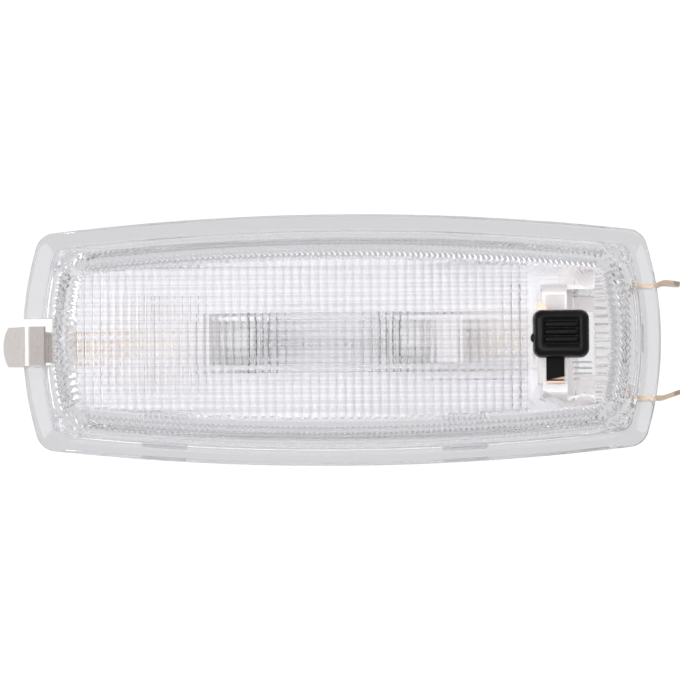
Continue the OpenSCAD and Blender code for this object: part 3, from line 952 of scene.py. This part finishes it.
        # Two columns close together where the flutes end
        columns += [left - 0.02, left + 0.03, right - 0.03, right + 0.02]
        made = []
        for x in columns:
            ends = crossing(ring, Axis.Y, x)
            if not ends or ends[1] - ends[0] < narrowest:
                continue
            low = math.ceil((ends[0] + margin) / step)
            high = math.floor((ends[1] - margin) / step)
            made += [(x, (j + OFF_GRID) * step) for j in range(low, high + 1)]
        return made

    def groove_lines(self, ring: list[Point2]) -> list[Line]:
        """Lays out the lines along the face that carry the grooves' section.

        Args:
            ring: The face's outline.

        Returns:
            The two ends of each line.
        """
        margin = 0.25
        made = []
        for i in range(-self.grooves_each_way, self.grooves_each_way + 1):
            for off in self.groove_lines_at:
                y = i * self.groove_pitch + off + OFF_GRID
                ends = crossing(ring, Axis.X, y)
                if ends:
                    made.append(((ends[0] + margin, y), (self.fluted[1], y)))
        return made

    def openings(self) -> bpy.types.Mesh:
        """Makes the openings through the moulding, which don't overlap each other.

        Returns:
            The tool mesh that cuts them.
        """
        shell = Shell()
        below_seat = self.seat_z - 0.01
        shell.box((*self.clip_notch[0], below_seat), (*self.clip_notch[1], self.clear_z))
        for low, high in (self.clip_window, *self.blade_slots, *self.base_windows):
            shell.box(low, high)
        shell.box((*self.recess[0], self.recess_z), (*self.recess[1], self.clear_z))
        return shell.mesh("openings")

    def slot_and_marks(self) -> bpy.types.Mesh:
        """Makes the switch slot and the position marks, vees cut into the recess.

        Returns:
            The tool mesh that cuts them.
        """
        shell = Shell()
        shell.box(*self.switch_slot)
        low, high = self.recess_z - self.mark_depth, self.recess_z + self.mark_rise
        for y in self.marks:
            vee = [(y, low), (y + self.mark_half, high), (y - self.mark_half, high)]
            left, right = ([(x, b, z) for b, z in vee] for x in self.mark_span)
            shell.prism(left, right)
        return shell.mesh("slot")

    def add_lug(self, shell: Shell, x: float, side: int) -> None:
        """Adds one lug for a tab of the reflector, square to the skirt's bowed side.

        Args:
            shell: Shell that the lug goes into.
            x: Its place along the side.
            side: 1 for the upper side, -1 for the lower one.
        """
        reach = self.outline.side_r - self.outline.side_in(self.outline.skirt_inset)
        turn = -math.asin(x / reach)
        ends = []
        for along in (-self.lug_half, self.lug_half):
            row = []
            for out, z in self.lug:
                px = along * math.cos(turn) - (reach + out) * math.sin(turn)
                py = along * math.sin(turn) + (reach + out) * math.cos(turn)
                row.append((px, side * (py + self.outline.side_c[1]), z))
            ends.append(row)
        shell.prism(ends[0], ends[1])

    def additions(self) -> bpy.types.Mesh:
        """Makes the switch guides and stop, the panel hook and the four lugs.

        Returns:
            The tool mesh that is joined on.
        """
        shell = Shell()
        for low, high in (*self.guides, self.switch_stop):
            shell.box(low, high)
        sides = (-self.hook_half, self.hook_half)
        lower, upper = ([(x, y, z) for x, z in self.hook] for y in sides)
        shell.prism(lower, upper)
        for x in self.lug_places:
            for side in (-1, 1):
                self.add_lug(shell, x, side)
        return shell.mesh("additions")

    def build(self, finish: bpy.types.Material) -> bpy.types.Object:
        """Builds the moulding and puts it in place of the plain solid.

        Args:
            finish: Its material.

        Returns:
            The new piece.
        """
        shell = Shell()
        inner = self.inner_rings(shell)
        outer = self.outer_rings(shell)
        shell.stack(inner)
        shell.stack(outer)
        shell.join(inner[0], outer[0])
        ceiling = [shell.vertices[i][:2] for i in inner[-1]]
        face = [shell.vertices[i][:2] for i in outer[-1]]
        shell.patch(inner[-1], [], self.ceiling_points(ceiling), self.ceiling_height)
        shell.patch(outer[-1], self.groove_lines(face), [], self.groove_height)
        piece = put("lens_moulding", shell.mesh("lens_moulding"))
        combine(piece, self.additions(), Work.ADD)
        combine(piece, self.openings(), Work.CUT)
        combine(piece, self.slot_and_marks(), Work.CUT)
        soften(piece.data, self.sharp)
        piece.data.materials.clear()
        piece.data.materials.append(finish)
        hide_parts("lens_body")
        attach(piece, Body.HOUSING.value)
        log.info("lens moulding: %d faces", len(piece.data.polygons))
        return piece


# Switch knob

@dataclass
class SwitchKnob:
    """Black knob with a sunk grip of three ridges, a pointer and its stem.

    All sizes are in millimetres, in the shared frame.
    """

    centre: Point2 = (38.75, 0.45)
    size: Point2 = (10.0, 8.5)
    corner: float = 1.6
    least_corner: float = 0.5
    corner_steps: int = 12
    sharp: float = 40.0
    foot_z: float = 18.0
    top_z: float = 21.2
    crown_drop: float = 0.12
    crown_half: Point2 = (4.9, 4.2)
    grip_half: Point2 = (3.5, 2.9)
    grip_depth: float = 0.5
    grip_slope: float = 0.9
    ridge_pitch: float = 1.33
    ridge_half: float = 3.0
    ridge_lift: float = 0.25
    ridge_height: float = 0.5
    ridge_thick: float = 0.56
    ridge_end: float = 0.6
    top_step: float = 0.1
    top_start: Point2 = (3.6, 2.9)
    top_count: tuple[int, int] = (72, 58)
    pointer_drop: float = 0.7
    pointer_bulge: float = 0.55
    pointer_root: float = 0.6
    pointer_section: tuple[Point2, ...] = ((0.75, 18.2), (0.75, 19.3), (0.68, 19.55), (0.5, 19.72))
    stem: Box = ((36.6, -2.8, 15.4), (39.0, 2.8, 18.3))

    def ring(self, inset: float) -> list[Point2]:
        """The knob's rounded outline.

        Args:
            inset: Distance inside the knob's side.

        Returns:
            The outline's points.
        """
        r = max(self.corner - inset * 0.5, self.least_corner)
        hx, hy = self.size[0] / 2 - inset - r, self.size[1] / 2 - inset - r
        made = []
        for sx, sy, start in ((1, 1, 0), (-1, 1, 90), (-1, -1, 180), (1, -1, 270)):
            centre = (self.centre[0] + sx * hx, self.centre[1] + sy * hy)
            made += arc(centre, r, start, start + 90, self.corner_steps)
        return made

    def pointer_ring(self, radius: float) -> list[Point2]:
        """The pointer's outline, a flat half round rooted in the knob's left side.

        Args:
            radius: Half its width.

        Returns:
            The outline's points.
        """
        x = self.centre[0] - self.size[0] / 2
        y = self.centre[1] - self.pointer_drop
        made = []
        for i in range(9):
            turn = i * math.pi / 8
            out = radius * self.pointer_bulge * math.sin(turn)
            made.append((x - out, y + radius * math.cos(turn)))
        root = x + self.pointer_root
        return made + [(root, y - radius), (root, y + radius)]

    def height(self, x: float, y: float) -> float:
        """Height of the knob's top, with the grip and its ridges.

        Args:
            x: Place along the lens.
            y: Place across it.

        Returns:
            The height there.
        """
        dx, dy = x - self.centre[0], y - self.centre[1] - self.ridge_lift
        fall = (dx / self.crown_half[0]) ** 2 + (dy / self.crown_half[1]) ** 2
        sunk = smooth((self.grip_half[0] - abs(dx)) / self.grip_slope)
        sunk *= smooth((self.grip_half[1] - abs(dy)) / self.grip_slope)
        lift = 0.0
        for i in (-1, 0, 1):
            off = abs(dy - i * self.ridge_pitch) / self.ridge_thick
            end = max(abs(dx) - self.ridge_half + self.ridge_end, 0.0) / self.ridge_end
            lift = max(lift, 1 - off**2 - end**2)
        floor = self.top_z - self.crown_drop * fall - self.grip_depth * sunk
        return floor + self.ridge_height * math.sqrt(lift)

    def top_points(self) -> list[Point2]:
        """Grid of points over the grip."""
        x, y = self.centre[0] - self.top_start[0], self.centre[1] - self.top_start[1]
        return [
            (x + self.top_step * i + OFF_GRID, y + self.top_step * j + OFF_GRID)
            for i in range(self.top_count[0])
            for j in range(self.top_count[1])
        ]

    def build(self, finish: bpy.types.Material) -> bpy.types.Object:
        """Builds the knob in place of the plain one.

        Args:
            finish: Its material.

        Returns:
            The new piece.
        """
        shell = Shell()
        section = [(0.25, self.foot_z), (0.06, self.foot_z + 0.05), (0.0, self.foot_z + 0.2)]
        section += [(0.02, 19.0), (0.1, 19.7), (0.2, 20.2)]
        section += [(0.35, 20.6), (0.6, 20.88), (0.9, 21.03), (1.2, 21.1)]
        rings = [shell.ring(self.ring(inset), z) for inset, z in section]
        shell.stack(rings)
        shell.faces.append(tuple(reversed(rings[0])))
        shell.patch(rings[-1], [], self.top_points(), self.height)
        pointer = [shell.ring(self.pointer_ring(r), z) for r, z in self.pointer_section]
        shell.stack(pointer)
        shell.faces += [tuple(reversed(pointer[0])), tuple(pointer[-1])]
        shell.box(*self.stem)
        piece = put("knob_cap", shell.mesh("knob_cap"), self.sharp)
        piece.data.materials.append(finish)
        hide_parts("switch_knob")
        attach(piece, Body.SLIDER.value)
        log.info("knob cap: %d faces", len(piece.data.polygons))
        return piece


# Solids that keep their shape

@dataclass
class CarriedSolids:
    """Solids that keep their shape and get a worked finish."""

    finishes: dict[str, bpy.types.Material]

    def dress(self) -> None:
        """Puts each finish on its solid."""
        for name, material in self.finishes.items():
            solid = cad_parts[name]
            if solid.data.materials:
                for i in range(len(solid.data.materials)):
                    solid.data.materials[i] = material
            else:
                solid.data.materials.append(material)
            log.info("dressed %s with %s", name, material.name)


FINISHES = (
    ClearPlastic("clear_lens"),
    ClearPlastic(
        "bulb_glass",
        tint=(0.995, 0.995, 0.995), ior=1.5, roughness=0.01, shade=(0.99, 0.99, 0.99), ripple=0.0,
    ),
    SheetMetal("reflector_sheet", (0.93, 0.92, 0.94), (0.94, 0.94, 0.95), 0.45, metallic=0.2),
    # Spring clip: its second colour is painted shade on the stem's faces looking up or down, x -53.5
    # to -40 mm, and faint on rubbed edges.
    SheetMetal(
        "spring_steel", (0.97, 0.91, 0.87), (0.6, 0.52, 0.47), 0.3, (1.0, 0.06, 1.0),
        edge_axis=Axis.Z, edge_and_shade_span=(-0.0535, -0.04), span_axis=Axis.X, metallic=0.5, rub=0.05,
    ),
    SheetMetal("rivet_brass", (0.78, 0.7, 0.6), (0.84, 0.76, 0.66), 0.4, metallic=0.5),
    SheetMetal(
        "earth_strip", (0.93, 0.92, 0.93), (0.62, 0.42, 0.3), 0.45,
        edge_axis=Axis.Z, edge_and_shade_span=(0.0025, 0.004), metallic=0.08, rub=0.1,
    ),
    SheetMetal(
        "feed_strip", (0.93, 0.92, 0.93), (0.6, 0.46, 0.36), 0.45,
        edge_axis=Axis.Y, metallic=0.08, rub=0.1,
    ),
    SheetMetal("bridge_copper", (0.62, 0.42, 0.3), (0.8, 0.58, 0.44), 0.35),
    SheetMetal(
        "terminal_blade", (0.84, 0.82, 0.81), (0.55, 0.4, 0.26), 0.45, (1.0, 1.0, 0.08),
        edge_axis=Axis.Z, edge_and_shade_span=(0.0495, 1.0), span_axis=Axis.X, metallic=0.6, rub=0.1,
    ),
    SheetMetal("nickel_cap", (0.95, 0.94, 0.93), (0.95, 0.94, 0.93), 0.45, metallic=0.12),
    SheetMetal("lead_wire", (0.62, 0.6, 0.58), (0.7, 0.68, 0.66), 0.35),
    SheetMetal("tungsten_coil", (0.33, 0.33, 0.35), (0.45, 0.45, 0.47), 0.45),
    MouldedPlastic("natural_plastic", (0.96, 0.91, 0.9), (0.97, 0.94, 0.93), 0.45, 0.2),
    MouldedPlastic("black_knob", (0.004, 0.004, 0.005), (0.02, 0.02, 0.022), 0.3, gloss=0.22),
    MouldedPlastic("black_carrier", (0.003, 0.003, 0.004), (0.01, 0.01, 0.011), 0.5, gloss=0.15),
)

FINISH_OF_SOLID = {
    "reflector": "reflector_sheet",
    "spring_clip": "spring_steel",
    "clip_rivet": "rivet_brass",
    "earth_holder": "earth_strip",
    "holder_rivet": "rivet_brass",
    "switch_base": "natural_plastic",
    "feed_strip": "feed_strip",
    "feed_rivet": "rivet_brass",
    "live_terminal": "terminal_blade",
    "door_terminal": "terminal_blade",
    "bulb_glass": "bulb_glass",
    "bulb_cap_left": "nickel_cap",
    "bulb_cap_right": "nickel_cap",
    "lead_wire_left": "lead_wire",
    "lead_wire_right": "lead_wire",
    "bulb_filament": "tungsten_coil",
    "switch_carrier": "black_carrier",
    "bridge_contact": "bridge_copper",
}


# Studio

@dataclass(frozen=True)
class Lamp:
    """Rectangular area lamp aimed at the object, in metres and watts."""

    name: str
    place: Point3
    size: Point2
    power: float

    def build(self) -> None:
        """Adds the lamp, its long side along Y."""
        data = bpy.data.lights.new(self.name, "AREA")
        data.shape = "RECTANGLE"
        data.size, data.size_y, data.energy = self.size[0], self.size[1], self.power
        lamp = bpy.data.objects.new(self.name, data)
        bpy.context.scene.collection.objects.link(lamp)
        lamp.location = self.place
        lamp.rotation_mode = "QUATERNION"
        lamp.rotation_quaternion = (-Vector(self.place)).to_track_quat("-Z", "Y")


@dataclass
class Studio:
    """Pale floor, plain soft light and the camera above the light, in metres and degrees."""

    distance: float = 0.85
    elevation: float = 87.6
    across: float = 0.1215
    roll: float = 0.45
    aim: Point3 = (-0.00035, 0.0, 0.010)
    sensor: float = 36.0
    clip: Point2 = (0.01, 10.0)
    floor_half_mm: float = 1500.0
    floor_colour: Colour = (0.86, 0.86, 0.86)
    floor_roughness: float = 0.9
    glow_seen: float = 1.09
    glow_through: float = 0.7
    glow_share: float = 0.9
    sky_low: Colour = (0.74, 0.74, 0.77)
    sky_high: Colour = (0.98, 0.98, 1.0)
    sky_high_at: float = 0.75
    sky_strength: float = 0.55
    lamps: tuple[Lamp, ...] = (
        Lamp("overhead", (-0.45, 0.1, 1.2), (0.4, 1.5), 4.9),
        Lamp("side_fill", (0.6, 1.2, 0.9), (0.9, 0.9), 2.6),
    )

    def floor(self) -> None:
        """Adds a wide pale floor that keeps the object's shadow.

        It glows for the camera, and a little less for what mirrors or lets it through.
        """
        shell = Shell()
        h = self.floor_half_mm
        ring = shell.ring([(-h, -h), (h, -h), (h, h), (-h, h)], 0.0)
        shell.faces.append(tuple(ring))
        ground = put("floor", shell.mesh("floor"))
        material, skin = new_material("pale_floor")
        tree = material.node_tree
        skin.inputs["Base Color"].default_value = rgba(self.floor_colour)
        skin.inputs["Roughness"].default_value = self.floor_roughness
        glow = tree.nodes.new("ShaderNodeEmission")
        glow.inputs["Color"].default_value = WHITE
        rays = tree.nodes.new("ShaderNodeLightPath").outputs
        extra = self.glow_seen - self.glow_through
        straight = math_node(tree, "MULTIPLY", rays["Is Camera Ray"], extra)
        strength = math_node(tree, "ADD", straight, self.glow_through)
        tree.links.new(strength, glow.inputs["Strength"])
        seen = math_node(tree, "ADD", rays["Is Camera Ray"], rays["Is Glossy Ray"])
        seen = math_node(tree, "ADD", seen, rays["Is Transmission Ray"], clamp=True)
        both = tree.nodes.new("ShaderNodeMixShader")
        tree.links.new(math_node(tree, "MULTIPLY", seen, self.glow_share), both.inputs[0])
        tree.links.new(skin.outputs[0], both.inputs[1])
        tree.links.new(glow.outputs[0], both.inputs[2])
        tree.links.new(both.outputs[0], tree.nodes["Material Output"].inputs["Surface"])
        ground.data.materials.append(material)

    def world(self) -> None:
        """Sets even studio light, brighter overhead and white where it is seen."""
        world = bpy.data.worlds.new("studio")
        bpy.context.scene.world = world
        world.use_nodes = True
        tree = world.node_tree
        back = tree.nodes["Background"]
        place = tree.nodes.new("ShaderNodeTexCoord")
        parts = tree.nodes.new("ShaderNodeSeparateXYZ")
        tree.links.new(place.outputs["Generated"], parts.inputs[0])
        ramp = tree.nodes.new("ShaderNodeValToRGB")
        low, high = ramp.color_ramp.elements
        low.position, low.color = 0.0, rgba(self.sky_low)
        high.position, high.color = self.sky_high_at, rgba(self.sky_high)
        tree.links.new(parts.outputs[Axis.Z.value], ramp.inputs[0])
        path = tree.nodes.new("ShaderNodeLightPath")
        sky = mix_colour(tree, path.outputs["Is Camera Ray"], ramp.outputs[0], WHITE)
        tree.links.new(sky, back.inputs["Color"])
        back.inputs["Strength"].default_value = self.sky_strength

    def camera(self) -> None:
        """Adds a long lens nearly straight above, turned a little in its plane."""
        data = bpy.data.cameras.new("camera")
        data.sensor_width = self.sensor
        data.lens = data.sensor_width * self.distance / self.across
        data.clip_start, data.clip_end = self.clip
        camera = bpy.data.objects.new("camera", data)
        bpy.context.scene.collection.objects.link(camera)
        e = math.radians(self.elevation)
        back = Vector((0.0, -math.cos(e), math.sin(e)))
        camera.location = Vector(self.aim) + back * self.distance
        camera.rotation_mode = "QUATERNION"
        facing = (-back).to_track_quat("-Z", "Y")
        camera.rotation_quaternion = facing @ Quaternion((0, 0, 1), -math.radians(self.roll))
        bpy.context.scene.camera = camera

    def build(self) -> None:
        """Sets up everything round the object, with long light paths for the clear walls."""
        self.floor()
        self.world()
        for lamp in self.lamps:
            lamp.build()
        self.camera()
        bpy.context.scene.view_settings.view_transform = "Standard"
        cycles = bpy.context.scene.cycles
        cycles.max_bounces = 24
        cycles.transmission_bounces = 20
        cycles.glossy_bounces = 20
        cycles.transparent_max_bounces = 16


def main() -> None:
    """Builds the scene in order."""
    logging.basicConfig(level=logging.INFO, format="%(message)s")
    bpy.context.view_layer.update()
    effects = Effects()
    made = {finish.name: finish.make(effects) for finish in FINISHES}

    Studio().build()
    LensBody().build(made["clear_lens"])
    SwitchKnob().build(made["black_knob"])
    CarriedSolids({solid: made[name] for solid, name in FINISH_OF_SOLID.items()}).dress()


if __name__ == "__main__":
    main()
